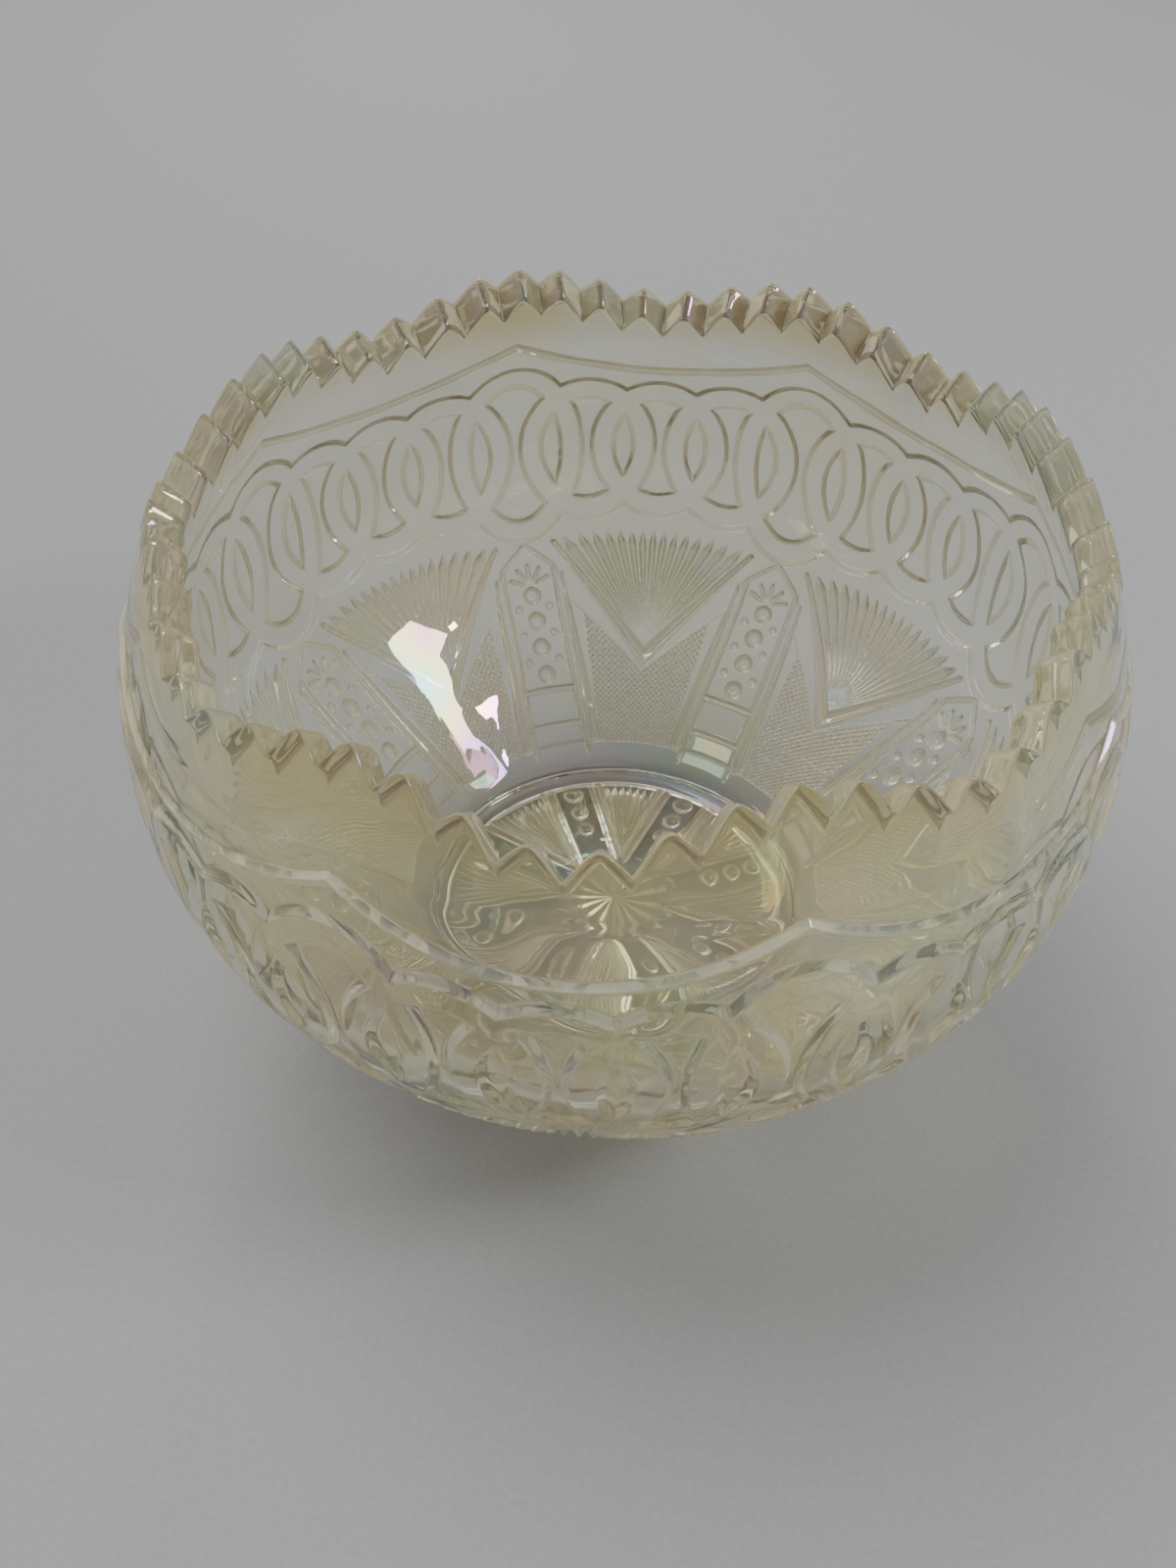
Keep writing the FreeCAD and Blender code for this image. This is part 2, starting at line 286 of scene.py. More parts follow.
def ring_chain_relief(azimuth, height):
    """The chain: flat bands round overlapping ovals, joined where they cross."""
    nearest = np.round(azimuth / RING_STEP)
    band = np.full(np.broadcast(azimuth, height).shape, 1e3)
    for step in (-2, -1, 0, 1, 2):
        place = nearest + step
        half_height = np.array(RING_HALF_HEIGHTS)[np.mod(place, 4).astype(int)]
        x = RING_LINE_RADIUS * np.radians(azimuth - place * RING_STEP)
        y = height - RING_HEIGHT
        outer = oval_distance(x, y, RING_HALF_WIDTH, half_height)
        inner = oval_distance(x, y, RING_HALF_WIDTH - RING_BAND, half_height - RING_BAND)
        band = np.minimum(band, np.maximum(outer, -inner))
    return plateau(band, RING_BEVEL, RING_RELIEF)


def border_relief(panel, height):
    """The eight-sided line: a narrow ridge that sags between its corners."""
    line = BORDER_MIDDLE + (BORDER_CORNER - BORDER_MIDDLE) * (panel / (SECTOR / 2.0)) ** 2
    return ridge(height - line, BORDER_HALF_WIDTH, BORDER_RELIEF)


def fan_relief(x, y):
    """Ribs that spread from the V's tip and end in points."""
    tip = (0.0, float(along(FAN_TIP)))
    corner = wall_point(FAN_CORNER)
    spread = math.atan2(corner[0], corner[1] - tip[1])
    long_reach = math.hypot(corner[0], corner[1] - tip[1])
    short_reach = float(along(FAN_CROWN)) - tip[1]
    reach = np.hypot(x, y - tip[1])
    turn = np.arctan2(x, y - tip[1])
    count = (turn / spread + 1.0) / 2.0 * FAN_RIBS
    rib = np.floor(count)
    rib_turn = ((rib + 0.5) / FAN_RIBS * 2.0 - 1.0) * spread
    rib_end = short_reach + (long_reach - short_reach) * (
        (1.0 - np.cos(rib_turn)) / (1.0 - math.cos(spread)))
    off_middle = np.abs(2.0 * (count - rib) - 1.0)
    point = np.clip((rib_end - reach) / FAN_POINT, 0.0, 1.0)
    rise = np.minimum(FAN_SLOPE * reach * 2.0 * spread / FAN_RIBS, FAN_RELIEF)
    inside = (count > 0) & (count < FAN_RIBS) & (reach < rib_end)
    return np.where(inside, rise * np.clip(point - off_middle, 0.0, 1.0), 0.0)


def chevron_relief(x, y):
    """The V ridge under a fan, and the plain chevron under that."""
    tip = (0.0, float(along(FAN_TIP)))
    corner = wall_point(FAN_CORNER)
    above, share = line_between(x, y, tip, corner)
    width = VEE_WIDTH - VEE_TAPER * np.clip(share, 0.0, 1.0)
    vee = ridge(above + width / 2.0, width / 2.0, VEE_RELIEF) * within(share, -0.12, 1.0)
    low_tip = (0.0, float(along(CHEVRON_TIP)))
    above_low, _ = line_between(x, y, low_tip, wall_point(FIELD_TOP))
    flat = plateau(-above_low, 0.8, CHEVRON_RELIEF) * plateau(above + width, 0.6, 1.0)
    return np.maximum(vee, flat * within(share, -0.4, 0.8, 0.08))


def field_relief(panel, x, y, height):
    """The fine diamonds between the side ridges, smaller towards the foot."""
    pitches = np.diff(LINE_LENGTHS) / LINE_RADII[1:] / math.radians(LATTICE_PITCH)
    scaled = np.interp(height, LINE_HEIGHTS, np.concatenate(([0.0], np.cumsum(pitches))))
    first = np.mod(panel / LATTICE_PITCH + scaled, 1.0)
    second = np.mod(panel / LATTICE_PITCH - scaled, 1.0)
    diamonds = np.minimum(1.0 - np.abs(2.0 * first - 1.0), 1.0 - np.abs(2.0 * second - 1.0))
    rise = LATTICE_RELIEF * wall_radius(height) / BELLY_RADIUS
    above_low, _ = line_between(x, y, (0.0, float(along(CHEVRON_TIP))), wall_point(FIELD_TOP))
    beside, _ = line_between(x, y, wall_point(FIELD_FOOT), wall_point(FIELD_TOP))
    mask = (above_low < 0) & (beside > 0) & (height > FIELD_FOOT[1])
    return np.where(mask, rise * diamonds, 0.0)


def side_relief(x, y):
    """The two tall ridges between a fan panel's diamonds and its column."""
    first, share = line_between(x, y, wall_point(SIDE_RIDGE_FOOT), wall_point(SIDE_RIDGE_TOP))
    half = SIDE_RIDGE_HALF - SIDE_RIDGE_TAPER * np.clip(share, 0.0, 1.0)
    broad = ridge(first, half, SIDE_RIDGE_RELIEF) * within(share)
    second, share = line_between(x, y, wall_point(THIN_RIDGE_FOOT), wall_point(THIN_RIDGE_TOP))
    return np.maximum(broad, ridge(second, THIN_RIDGE_HALF, THIN_RIDGE_RELIEF) * within(share))


def column_relief(beside, y, height):
    """A gabled frame with a spray, beads and steps; beside is from its middle."""
    shoulder = (COLUMN_HALF_WIDTH, float(along(COLUMN_SHOULDER)))
    apex = (0.0, float(along(COLUMN_APEX)))
    foot = (COLUMN_HALF_WIDTH, float(along(COLUMN_FOOT)))
    edge, share = line_between(beside, y, foot, shoulder)
    relief = ridge(edge, FRAME_HALF, FRAME_RELIEF) * within(share, 0.0, 1.01, 0.02)
    gable, share = line_between(beside, y, shoulder, apex)
    gable = ridge(gable, GABLE_HALF, GABLE_RELIEF) * within(share, -0.05, 1.1, 0.05)
    relief = np.maximum(relief, gable)
    for place in BEAD_HEIGHTS:
        distance = np.hypot(beside, y - float(along(place)))
        relief = np.maximum(relief, bead(distance, BEAD_RADIUS, BEAD_RELIEF))
    for upper, lower in zip(BEAD_HEIGHTS, BEAD_HEIGHTS[1:]):
        middle = float(along((upper + lower) / 2.0))
        distance = np.hypot(beside - SMALL_BEAD_SIDE, y - middle)
        relief = np.maximum(relief, bead(distance, SMALL_BEAD_RADIUS, SMALL_BEAD_RELIEF))
    ray_reach = np.hypot(beside, y - float(along(SPRAY_FOOT)))
    ray_turn = np.degrees(np.arctan2(beside, y - float(along(SPRAY_FOOT))))
    off_ray = ray_turn - SPRAY_STEP * np.round(ray_turn / SPRAY_STEP)
    rays = ridge(ray_reach * np.radians(off_ray), RAY_HALF, RAY_RELIEF)
    rays = rays * within(ray_reach, SPRAY_START, SPRAY_REACH, 1.0)
    rays = rays * (ray_turn < 2.5 * SPRAY_STEP)
    relief = np.maximum(relief, rays)
    for low, high in zip((COLUMN_FOOT,) + STEP_HEIGHTS[::-1], STEP_HEIGHTS[::-1]):
        share = (height - low) / (high - low)
        ramp = STEP_RELIEF * share * within(share, 0.0, 1.0, 0.12)
        relief = np.maximum(relief, ramp * (beside < COLUMN_HALF_WIDTH - STEP_INSET))
    for place in STEP_HEIGHTS:
        rung = ridge(y - float(along(place)), RUNG_HALF, RUNG_RELIEF)
        relief = np.maximum(relief, rung * (beside < COLUMN_HALF_WIDTH))
    return relief


def outside_relief(azimuth, height):
    """How far the pattern stands out of the plain wall."""
    panel = np.mod(azimuth + SECTOR / 2.0, SECTOR) - SECTOR / 2.0
    radius = wall_radius(height)
    x = radius * np.radians(np.abs(panel))
    y = along(height) + np.zeros_like(x)
    beside = radius * np.radians(SECTOR / 2.0 - np.abs(panel))
    chain = ring_chain_relief(azimuth, height)
    lower = np.maximum.reduce([
        fan_relief(radius * np.radians(panel), y),
        chevron_relief(x, y),
        field_relief(panel, x, y, height),
        side_relief(x, y),
        column_relief(beside, y, height),
    ])
    lower = np.where(height < FAN_CROWN + 1.0, lower, 0.0)
    collar = np.where(height > BORDER_MIDDLE - 3.0, border_relief(panel, height), 0.0)
    return np.maximum.reduce([chain, lower, collar])


def star_relief(azimuth, radius):
    """The pattern under the floor: fans, beads between them, and a fluted hub."""
    panel = np.mod(azimuth + SECTOR / 2.0, SECTOR) - SECTOR / 2.0
    x = radius * np.sin(np.radians(np.abs(panel)))
    y = radius * np.cos(np.radians(panel))
    spread = math.atan2(STAR_FAN_HALF, STAR_FAN_END - STAR_FAN_TIP)
    turn = np.arctan2(x, y - STAR_FAN_TIP)
    off_middle = np.abs(2.0 * np.mod(turn / spread * STAR_RIBS / 2.0 + 0.5, 1.0) - 1.0)
    reach = np.hypot(x, y - STAR_FAN_TIP)
    point = np.clip((STAR_FAN_END - STAR_FAN_TIP - reach) / STAR_RIB_POINT, 0.0, 1.0)
    rise = np.minimum(STAR_RIB_SLOPE * reach, STAR_RIB_RELIEF)
    fan = np.where(turn < spread, rise * np.clip(point - off_middle, 0.0, 1.0), 0.0)
    start, end = (0.0, STAR_FAN_TIP - 1.0), (STAR_FAN_HALF + 0.8, STAR_FAN_END)
    edge, share = line_between(x, y, start, end)
    relief = np.maximum(fan, ridge(edge, 1.0, 1.2) * within(share, -0.05, 1.0))
    start, end = (1.2, STAR_FAN_TIP - 2.5), (STAR_FAN_HALF + 3.2, STAR_FAN_END)
    outer, share = line_between(x, y, start, end)
    relief = np.maximum(relief, ridge(outer, 0.9, 0.9) * within(share, -0.05, 0.98))
    off_column = radius * np.radians(SECTOR / 2.0 - np.abs(panel))
    for place, size in STAR_BEADS:
        distance = np.hypot(off_column, radius - place)
        relief = np.maximum(relief, bead(distance, size, STAR_BEAD_RELIEF))
    flute = np.abs(2.0 * np.mod(azimuth / (SECTOR / 2.0) + 0.5, 1.0) - 1.0)
    hub = np.minimum(STAR_HUB_SLOPE * radius, STAR_HUB_RELIEF) * (1.0 - flute)
    hub = hub * np.clip((STAR_HUB - radius) / 2.5, 0.0, 1.0)
    return np.maximum(relief, hub)


# ---------------------------------------------------------------- rings of points

AZIMUTH = np.arange(COLUMNS) * (360.0 / COLUMNS)


def ring(radius, height):
    """One ring of points, in metres."""
    turn = np.radians(AZIMUTH)
    radius = np.broadcast_to(radius, AZIMUTH.shape)
    height = np.broadcast_to(height, AZIMUTH.shape)
    return np.stack([radius * np.sin(turn), radius * np.cos(turn), height], axis=1) * MM


def underside_rings():
    """From the middle of the floor's underside to the inside of the standing ring."""
    rings = []
    edge = FOOT_RADIUS - FOOT_WIDTH
    radii = np.concatenate((np.linspace(0.6, STAR_HUB, 26), np.linspace(15.5, edge - 0.8, 62)))
    for radius in radii:
        drop = star_relief(AZIMUTH, np.full_like(AZIMUTH, radius))
        rings.append(ring(radius, FLOOR_UNDERSIDE - drop))
    return rings


def foot_rings():
    """The standing ring, with rounded edges, and the plain wall above it."""
    inner = FOOT_RADIUS - FOOT_WIDTH
    outline = [
        (inner - 0.2, FLOOR_UNDERSIDE),
        (inner + 0.1, FLOOR_UNDERSIDE - 0.5),
        (inner + 0.3, 0.7),
        (inner + 0.9, 0.15),
        (inner + 1.7, 0.0),
        (FOOT_RADIUS - 1.7, 0.0),
        (FOOT_RADIUS - 0.8, 0.15),
        (FOOT_RADIUS - 0.2, 0.7),
        (FOOT_RADIUS, 1.7),
        (FOOT_RADIUS, 4.2),
    ]
    rings = [ring(radius, height) for radius, height in outline]
    for height in (5.6, 6.6, 7.2, 7.8, 8.4, FLOOR_TOP):
        rings.append(outside_ring(height))
    return rings


def outside_ring(height):
    """One ring of the patterned outer wall."""
    relief = outside_relief(AZIMUTH, np.full_like(AZIMUTH, height))
    across, up = wall_normal(height)
    return ring(wall_radius(height) + relief * across, height + relief * up)


def lattice_heights():
    """Heights up the panels whose spacing grows with the radius, as the diamonds do."""
    heights = [FLOOR_TOP]
    while heights[-1] < PANEL_TOP:
        step = float(wall_radius(heights[-1])) * math.radians(LATTICE_PITCH) / 6.0
        heights.append(float(np.interp(along(heights[-1]) + step, LINE_LENGTHS, LINE_HEIGHTS)))
    heights[-1] = PANEL_TOP
    return heights[1:]


def tip_height():
    """Height of the tooth tips: low over a panel's middle, high over a column."""
    return RIM_HEIGHT - SCALLOP * np.cos(np.radians(PANELS * AZIMUTH))


def tooth_drop():
    """0 at a tooth's tip and 1 in the valleys, with a round tip."""
    share = np.abs(2.0 * np.mod(AZIMUTH / (360.0 / TEETH), 1.0) - 1.0)
    flat = TOOTH_ROUNDING
    return (np.sqrt(share ** 2 + flat ** 2) - flat) / (math.sqrt(1.0 + flat ** 2) - flat)


def rim_rings():
    """From the collar up the outside, over the teeth and down the inside."""
    drop = tooth_drop()
    outer_edge = tip_height() - TOOTH_DEPTH * drop - RIM_ROUNDING
    fall = CREST_FALL + (VALLEY_FALL - CREST_FALL) * drop
    inner_edge = outer_edge - fall
    rings = []
    for share in np.linspace(0.1, 1.0, 10):
        height = COLLAR_TOP + (outer_edge - COLLAR_TOP) * share
        rings.append(ring(wall_radius(height), height))
    outer_radius = wall_radius(outer_edge)
    inner_radius = wall_radius(inner_edge, -WALL)
    for turn in np.radians(np.linspace(9.0, 171.0, 15)):
        side = math.copysign(math.sqrt(abs(math.cos(turn))), math.cos(turn))
        lift = math.sqrt(math.sin(turn))
        middle = (outer_radius + inner_radius) / 2.0
        half = (outer_radius - inner_radius) / 2.0
        base = outer_edge - fall * (1.0 - side) / 2.0
        rings.append(ring(middle + half * side, base + RIM_ROUNDING * lift))
    inner_foot = COLLAR_TOP - VALLEY_FALL
    for share in np.linspace(1.0, 0.0, 10):
        height = inner_foot + (inner_edge - inner_foot) * share
        rings.append(ring(wall_radius(height, -WALL), height))
    return rings


def inside_rings(heights):
    """Rings of the inner wall, plain but for the slight waviness of hand-worked glass."""
    turn = np.radians(AZIMUTH)
    rings = []
    for height in heights:
        waves = np.sin(11.0 * turn + 0.23 * height) + np.sin(17.0 * turn - 0.31 * height)
        rings.append(ring(wall_radius(height, -WALL) + WAVINESS * waves, height))
    return rings


def floor_rings():
    """The blend from the inner wall to the floor, and the floor: (blend, floor)."""
    corner = float(wall_radius(FLOOR_TOP, -WALL))
    rise = math.radians(90.0 - FLARE_ANGLE)
    tangent = FLOOR_BLEND * math.tan(rise / 2.0)
    start = corner - tangent
    blend = []
    for turn in np.linspace(rise, 0.0, 12):
        radius = start + FLOOR_BLEND * math.sin(turn)
        blend.append(ring(radius, FLOOR_TOP + FLOOR_BLEND * (1.0 - math.cos(turn))))
    floor = [ring(radius, FLOOR_TOP) for radius in np.linspace(start - 2.0, 0.6, 10)]
    top = FLOOR_TOP + FLOOR_BLEND * (1.0 - math.cos(rise))
    return blend, floor, top


# ---------------------------------------------------------------- the skin and its zones

def all_rings():
    """Every ring in order, and each zone's runs of rings as (first, last) indices."""
    blend, floor, blend_top = floor_rings()
    chain_heights = list(np.arange(PANEL_TOP, CHAIN_TOP, CHAIN_SPACING)[1:]) + [CHAIN_TOP]
    collar_heights = np.linspace(CHAIN_TOP, COLLAR_TOP, 66)[1:]
    rim_foot = COLLAR_TOP - VALLEY_FALL
    runs = [
        ("base_star", underside_rings()),
        ("foot_ring", foot_rings()),
        ("fan_panels", [outside_ring(height) for height in lattice_heights()]),
        ("ring_chain", [outside_ring(height) for height in chain_heights]),
        ("border_collar", [outside_ring(height) for height in collar_heights]),
        ("sawtooth_rim", rim_rings()),
        ("border_collar", inside_rings(np.linspace(rim_foot, CHAIN_TOP, 8)[1:])),
        ("ring_chain", inside_rings(np.linspace(CHAIN_TOP, PANEL_TOP, 22)[1:])),
        ("fan_panels", inside_rings(np.linspace(PANEL_TOP, blend_top, 18)[1:-1]) + blend[:1]),
        ("foot_ring", blend[1:-2]),
        ("base_star", blend[-2:] + floor),
    ]
    rings, spans = [], {}
    for zone, members in runs:
        first = max(len(rings) - 1, 0)
        rings += members
        spans.setdefault(zone, []).append((first, len(rings) - 1))
    return np.array(rings), spans


def skin_normals(rings):
    """Smooth outward normals of the whole skin, so that the zones' seams don't show."""
    ahead = np.roll(rings, -1, axis=1) - np.roll(rings, 1, axis=1)
    up = np.empty_like(rings)
    up[1:-1] = rings[2:] - rings[:-2]
    up[0] = rings[1] - rings[0]
    up[-1] = rings[-1] - rings[-2]
    normals = np.cross(up, ahead)
    return normals / np.maximum(np.linalg.norm(normals, axis=2, keepdims=True), 1e-12)


def painted_edge_highlights(rings, normals):
    """Painted highlight on the pattern: how steep it is, more so on its crests, 0 on plain
    glass and 1 on a sharp edge.
    """
    turn = np.radians(AZIMUTH)
    outward = normals[..., 0] * np.sin(turn) + normals[..., 1] * np.cos(turn)
    plain = np.stack([outward.mean(axis=1), normals[..., 2].mean(axis=1)], axis=1)
    plain /= np.maximum(np.linalg.norm(plain, axis=1, keepdims=True), 1e-9)
    agreement = outward * plain[:, :1] + normals[..., 2] * plain[:, 1:]
    steep = np.clip((1.0 - agreement) / (1.0 - math.cos(math.radians(STEEP))), 0.0, 1.0)
    height = rings[..., 2] / MM
    stands = np.hypot(rings[..., 0], rings[..., 1]) / MM - wall_radius(height)
    on_pattern = (stands > -0.5) & (height > FLOOR_TOP) & (height < COLLAR_TOP)
    crest = np.where(on_pattern, np.clip(stands / RING_RELIEF, 0.0, 1.0), 0.7)
    return steep * (0.4 + 0.6 * crest)


def zone_mesh(name, rings, normals, edges, spans):
    """One zone: its stretches of skin, and unseen seams that close it."""
    points, facing, steep, quads = [], [], [], []
    starts, ends = [], []     # first point of each stretch's first and last ring
    count = 0
    for first, last in spans:
        points.append(rings[first:last + 1].reshape(-1, 3))
        facing.append(normals[first:last + 1].reshape(-1, 3))
        steep.append(edges[first:last + 1].ravel())
        here = count + np.arange((last - first) * COLUMNS).reshape(-1, COLUMNS)
        beside = np.roll(here, -1, axis=1)
        quads.append(np.stack([here, here + COLUMNS, beside + COLUMNS, beside],
                              axis=2).reshape(-1, 4))
        starts.append(count)
        ends.append(count + (last - first) * COLUMNS)
        count += (last - first + 1) * COLUMNS
    if name == "sawtooth_rim":
        pairs = [(ends[0], starts[0])]
    elif name == "base_star":
        pairs = [(ends[0], starts[1])]
    else:
        pairs = [(ends[0], starts[1]), (ends[1], starts[0])]
    columns = np.arange(COLUMNS)
    after = np.roll(columns, -1)
    seams = [np.stack([start + columns, end + columns, end + after, start + after], axis=1)
             for start, end in pairs]
    return (np.concatenate(points), np.concatenate(facing), np.concatenate(steep),
            np.concatenate(quads), np.concatenate(seams))


def zone_object(name, rings, normals, edges, spans, glass, seam):
    """Make one zone's object."""
    points, facing, steep, quads, seams = zone_mesh(name, rings, normals, edges, spans)
    caps = []
    if name == "base_star":
        low = len(points)
        middles = points[:COLUMNS].mean(axis=0), points[-COLUMNS:].mean(axis=0)
        points = np.vstack([points, *middles])
        facing = np.vstack([facing, (0, 0, -1), (0, 0, 1)])
        steep = np.append(steep, (0.0, 0.0))
        columns = np.arange(COLUMNS)
        after = np.roll(columns, -1)
        top = low - COLUMNS
        caps = [np.stack([columns, after, np.full(COLUMNS, low)], axis=1),
                np.stack([top + after, top + columns, np.full(COLUMNS, low + 1)], axis=1)]
    faces = [quads, seams] + caps
    loops = np.concatenate([part.ravel() for part in faces])
    sizes = np.concatenate([np.full(len(part), part.shape[1]) for part in faces])
    materials = np.concatenate([np.full(len(part), int(part is seams)) for part in faces])
    mesh = bpy.data.meshes.new(name + "_glass")
    mesh.vertices.add(len(points))
    mesh.vertices.foreach_set("co", points.ravel())
    mesh.loops.add(len(loops))
    mesh.loops.foreach_set("vertex_index", loops)
    mesh.polygons.add(len(sizes))
    mesh.polygons.foreach_set("loop_start", np.concatenate(([0], np.cumsum(sizes)[:-1])))
    mesh.polygons.foreach_set("material_index", materials)
    mesh.update()
    mesh.validate()
    mesh.polygons.foreach_set("use_smooth", np.ones(len(sizes), bool))
    mesh.normals_split_custom_set_from_vertices(facing)
    # The painted edge highlight, kept on the points for the glass material.
    mesh.attributes.new("painted_edge_highlight", "FLOAT", "POINT").data.foreach_set("value", steep)
    mesh.materials.append(glass)
    mesh.materials.append(seam)
    piece = bpy.data.objects.new(name + "_glass", mesh)
    bpy.context.scene.collection.objects.link(piece)
    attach(piece, "root")
    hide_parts(name)
    return piece


# ---------------------------------------------------------------- materials

def node_material(name):
    """An empty node material and its output."""
    material = bpy.data.materials.new(name)
    material.use_nodes = True
    material.node_tree.nodes.clear()
    output = material.node_tree.nodes.new("ShaderNodeOutputMaterial")
    return material, material.node_tree, output


def colour_mix(tree, factor, first, second):
    """A colour between two, each a constant or a socket."""
    made = tree.nodes.new("ShaderNodeMix")
    made.data_type = "RGBA"
    tree.links.new(factor, made.inputs["Factor"])
    for colour, name in ((first, "A"), (second, "B")):
        socket = [item for item in made.inputs if item.name == name and item.type == "RGBA"][0]
        if isinstance(colour, tuple):
            socket.default_value = colour
        else:
            tree.links.new(colour, socket)
    return [item for item in made.outputs if item.type == "RGBA"][0]


def glass_material():
    """Pale straw glass, hazy and amber round the rim, with a faint iridescent film; a painted
    highlight on the pattern's edges and crests, and painted light making the near side yellower
    and hazier.
    """
    material, tree, output = node_material("iridescent_pressed_glass")
    nodes, links = tree.nodes, tree.links
    shader = nodes.new("ShaderNodeBsdfPrincipled")
    shader.inputs["IOR"].default_value = 1.5
    shader.inputs["Thin Film IOR"].default_value = 1.68
    place = nodes.new("ShaderNodeTexCoord").outputs["Object"]
    parts = nodes.new("ShaderNodeSeparateXYZ")
    links.new(place, parts.inputs[0])

    def noise(scale, detail):
        """A noise value over the glass."""
        made = nodes.new("ShaderNodeTexNoise")
        made.inputs["Scale"].default_value = scale
        made.inputs["Detail"].default_value = detail
        links.new(place, made.inputs["Vector"])
        return made.outputs["Fac"]

    def mapped(value, low, high, to_low, to_high):
        """A value moved from one range to another, and held inside it."""
        made = nodes.new("ShaderNodeMapRange")
        made.inputs["From Min"].default_value = low
        made.inputs["From Max"].default_value = high
        made.inputs["To Min"].default_value = to_low
        made.inputs["To Max"].default_value = to_high
        links.new(value, made.inputs["Value"])
        return made.outputs["Result"]

    def worked(operation, first, second):
        """A sum, product or the like of a value and another value or a number."""
        made = nodes.new("ShaderNodeMath")
        made.operation = operation
        made.use_clamp = True
        links.new(first, made.inputs[0])
        if isinstance(second, float):
            made.inputs[1].default_value = second
        else:
            links.new(second, made.inputs[1])
        return made.outputs["Value"]

    clouds = noise(18.0, 3.0)
    specks = noise(140.0, 2.0)
    rim_start, rim_end = (COLLAR_TOP - 3.0) * MM, (COLLAR_TOP + 7.0) * MM
    rim = mapped(parts.outputs["Z"], rim_start, rim_end, 0.0, 1.0)
    # Painted light on one side: the near (−Y) wall is made yellower and hazier, as that side
    # looks under the light.
    near = mapped(parts.outputs["Y"], -0.085, 0.02, 1.0, 0.0)
    stain = mapped(clouds, 0.40, 0.66, 0.0, 1.0)

    # Painted highlight: steep edges and crests get the bright straw tint and more haze, less of
    # both on the rim.
    edge = nodes.new("ShaderNodeAttribute")
    edge.attribute_name = "painted_edge_highlight"
    edge = edge.outputs["Fac"]
    colour = colour_mix(tree, worked("MULTIPLY", stain, 0.6), CLEAR, PALE_STRAW)
    colour = colour_mix(tree, worked("MULTIPLY", near, 0.7), colour, STRAW)
    amber = worked("MULTIPLY", rim, mapped(stain, 0.0, 1.0, 0.4, 1.0))
    colour = colour_mix(tree, amber, colour, AMBER)
    painted_highlight_share = worked("MULTIPLY", edge, mapped(rim, 0.0, 1.0, 1.0, 0.3))
    colour = colour_mix(tree, painted_highlight_share, colour, EDGE_HIGHLIGHT_TINT)
    links.new(colour, shader.inputs["Base Color"])

    edge_highlight_haze = worked("MULTIPLY", edge, mapped(rim, 0.0, 1.0, EDGE_HIGHLIGHT_HAZE, RIM_EDGE_HIGHLIGHT_HAZE))
    edge_highlight_haze = worked("MULTIPLY", edge_highlight_haze, mapped(near, 0.0, 1.0, 1.0, NEAR_EDGE_SHARE))
    haze = worked("ADD", worked("MULTIPLY", rim, RIM_HAZE), worked("MULTIPLY", near, NEAR_HAZE))
    haze = worked("ADD", haze, edge_highlight_haze)
    links.new(mapped(haze, 0.0, 1.0, 1.0, 0.0), shader.inputs["Transmission Weight"])

    links.new(mapped(specks, 0.4, 0.75, 0.0, MOST_ROUGHNESS), shader.inputs["Roughness"])
    links.new(mapped(clouds, 0.3, 0.7, *FILM_NANOMETRES), shader.inputs["Thin Film Thickness"])

    bump = nodes.new("ShaderNodeBump")
    bump.inputs["Strength"].default_value = 0.4
    bump.inputs["Distance"].default_value = 0.0006
    links.new(noise(48.0, 2.0), bump.inputs["Height"])
    links.new(bump.outputs["Normal"], shader.inputs["Normal"])
    links.new(shader.outputs["BSDF"], output.inputs["Surface"])
    return material


def seam_material():
    """Nothing at all: the glass goes on through a seam."""
    material, tree, output = node_material("unseen_seam")
    clear = tree.nodes.new("ShaderNodeBsdfTransparent")
    tree.links.new(clear.outputs["BSDF"], output.inputs["Surface"])
    return material


def floor_material():
    """Plain pale card with a faint mottle."""
    material, tree, output = node_material("pale_card")
    shader = tree.nodes.new("ShaderNodeBsdfPrincipled")
    shader.inputs["Roughness"].default_value = 0.8
    noise = tree.nodes.new("ShaderNodeTexNoise")
    noise.inputs["Scale"].default_value = 900.0
    place = tree.nodes.new("ShaderNodeTexCoord")
    tree.links.new(place.outputs["Object"], noise.inputs["Vector"])
    dark, light = [(grey, grey, grey * 1.02, 1.0) for grey in FLOOR_GREYS]
    tone = colour_mix(tree, noise.outputs["Fac"], dark, light)
    tree.links.new(tone, shader.inputs["Base Color"])
    tree.links.new(shader.outputs["BSDF"], output.inputs["Surface"])
    return material


# ---------------------------------------------------------------- stage

def make_floor():
    """The plane that the bowl stands on."""
    size = FLOOR_SIZE
    mesh = bpy.data.meshes.new("floor")
    corners = [(-size, -size, 0), (size, -size, 0), (size, size, 0), (-size, size, 0)]
    mesh.from_pydata(corners, [], [(0, 1, 2, 3)])
    mesh.materials.append(floor_material())
    floor = bpy.data.objects.new("floor", mesh)
    floor.location.z = -FLOOR_GAP
    bpy.context.scene.collection.objects.link(floor)


def place_light(name, light, place, mirrored=True):
    """Stand a light at a place, pointing at the bowl, perhaps kept out of reflections."""
    holder = bpy.data.objects.new(name, light)
    holder.location = place
    aim = LIGHTS_AIM - Vector(place)
    holder.rotation_euler = aim.to_track_quat("-Z", "Y").to_euler()
    holder.visible_glossy = mirrored
    bpy.context.scene.collection.objects.link(holder)


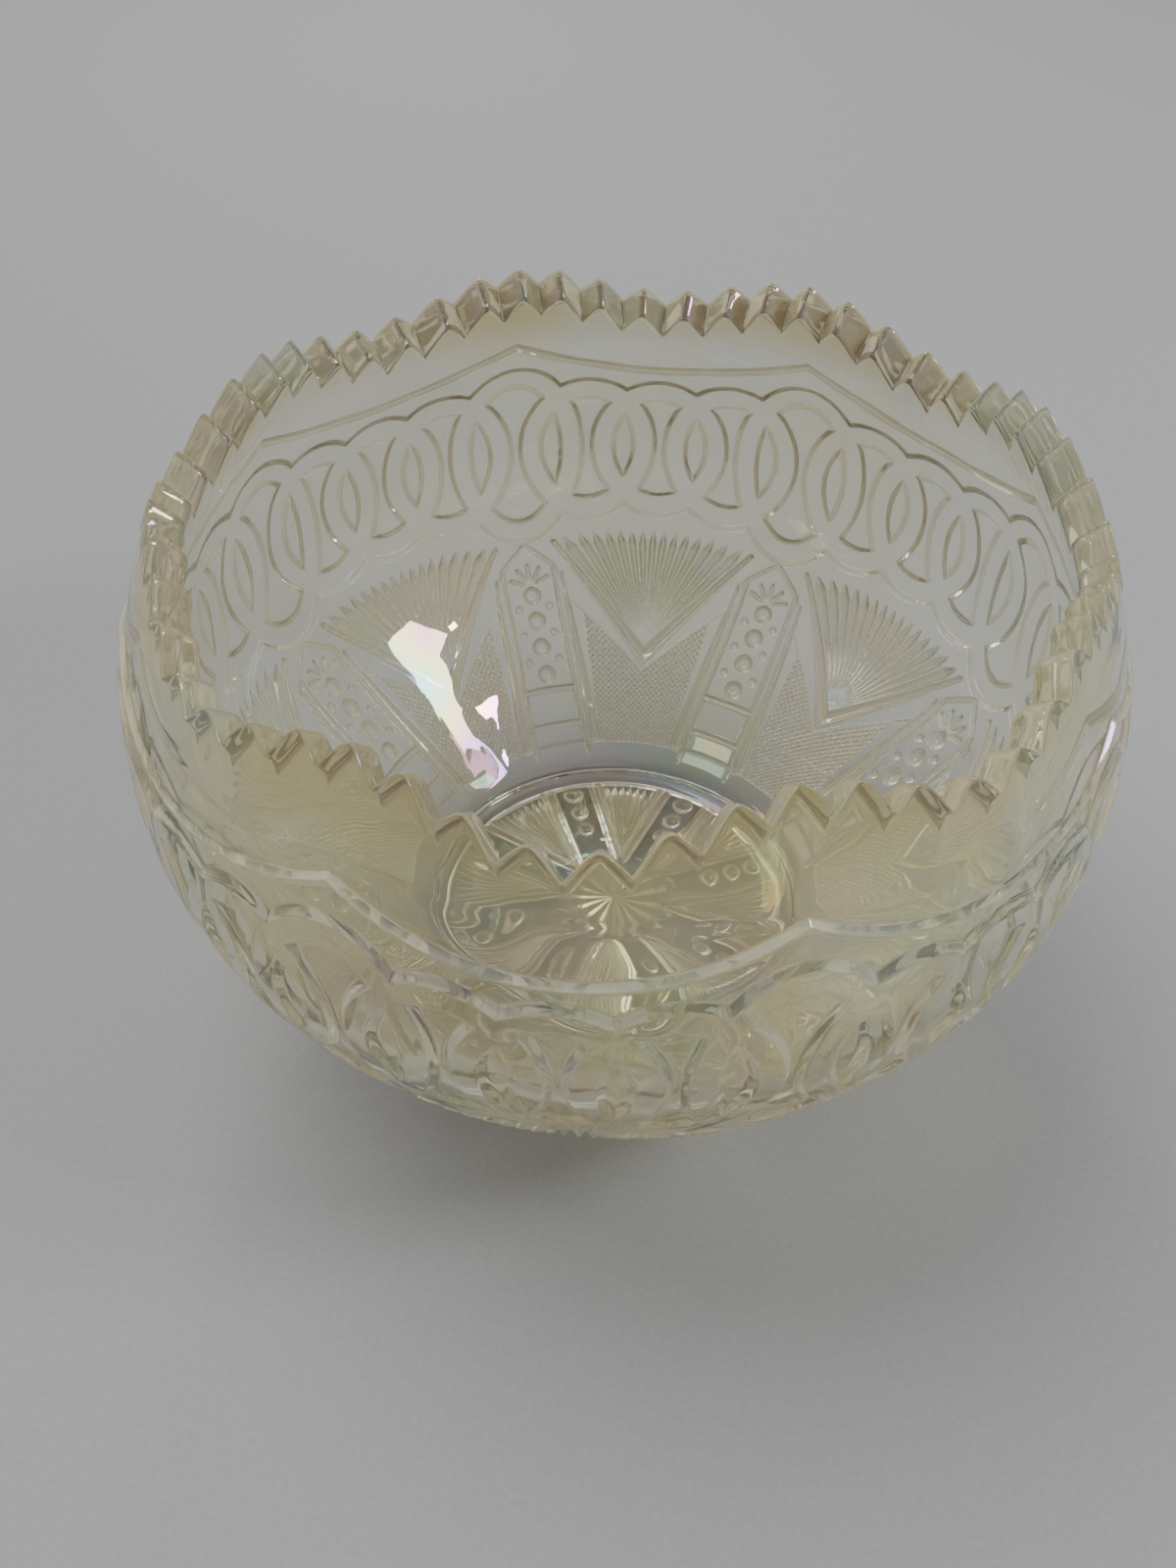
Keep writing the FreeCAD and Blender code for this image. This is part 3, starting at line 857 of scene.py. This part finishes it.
def make_glint(name, place, size, power, colour):
    """A small square light that shows as a bright spot on the glass."""
    light = bpy.data.lights.new(name, "AREA")
    light.shape = "SQUARE"
    light.size = size
    light.energy = power
    light.color = colour
    place_light(name, light, place)


def make_lights():
    """A broad soft key light, three small ones for the glints, and an even surround."""
    key = bpy.data.lights.new("key_light", "SUN")
    key.energy = 2.9
    key.angle = math.radians(50.0)
    key.color = (1.0, 0.98, 0.95)
    place_light("key_light", key, (-0.55, 0.35, 1.05), mirrored=False)
    make_glint("overhead_glint", (0.68, -0.20, 0.72), 0.05, 0.7, (1.0, 0.98, 0.94))
    make_glint("right_glint", (0.75, -0.05, 0.68), 0.17, 3.0, (0.86, 0.93, 1.0))
    make_glint("back_glint", (-0.25, 0.85, 0.50), 0.10, 1.4, (1.0, 0.98, 0.94))
    world = bpy.data.worlds.new("soft_surround")
    world.use_nodes = True
    background = world.node_tree.nodes["Background"]
    background.inputs["Color"].default_value = (0.93, 0.95, 1.0, 1.0)
    background.inputs["Strength"].default_value = 0.5
    bpy.context.scene.world = world


def make_camera():
    """Above and in front, looking down at the far wall's inside."""
    camera = bpy.data.cameras.new("camera")
    camera.sensor_fit = "VERTICAL"
    camera.sensor_height = 32.0
    camera.lens = 28.0
    camera.clip_start = 0.01
    holder = bpy.data.objects.new("camera", camera)
    target = Vector((-6.4, -0.7, 44.7)) * MM
    azimuth = math.radians(-6.51)
    elevation = math.radians(44.86)
    distance = 299.3 * MM
    back = Vector((-math.sin(azimuth) * math.cos(elevation),
                   -math.cos(azimuth) * math.cos(elevation),
                   math.sin(elevation)))
    turn = (-back).to_track_quat("-Z", "Y").to_matrix()
    roll = Matrix.Rotation(math.radians(0.67), 3, "Z")
    holder.matrix_world = Matrix.Translation(target + back * distance) @ (turn @ roll).to_4x4()
    bpy.context.scene.collection.objects.link(holder)
    bpy.context.scene.camera = holder


def make_bowl():
    """The six zones of the glass."""
    rings, spans = all_rings()
    normals = skin_normals(rings)
    edges = painted_edge_highlights(rings, normals)
    glass = glass_material()
    seam = seam_material()
    for name, runs in spans.items():
        zone_object(name, rings, normals, edges, runs, glass, seam)


make_bowl()
make_floor()
make_lights()
make_camera()
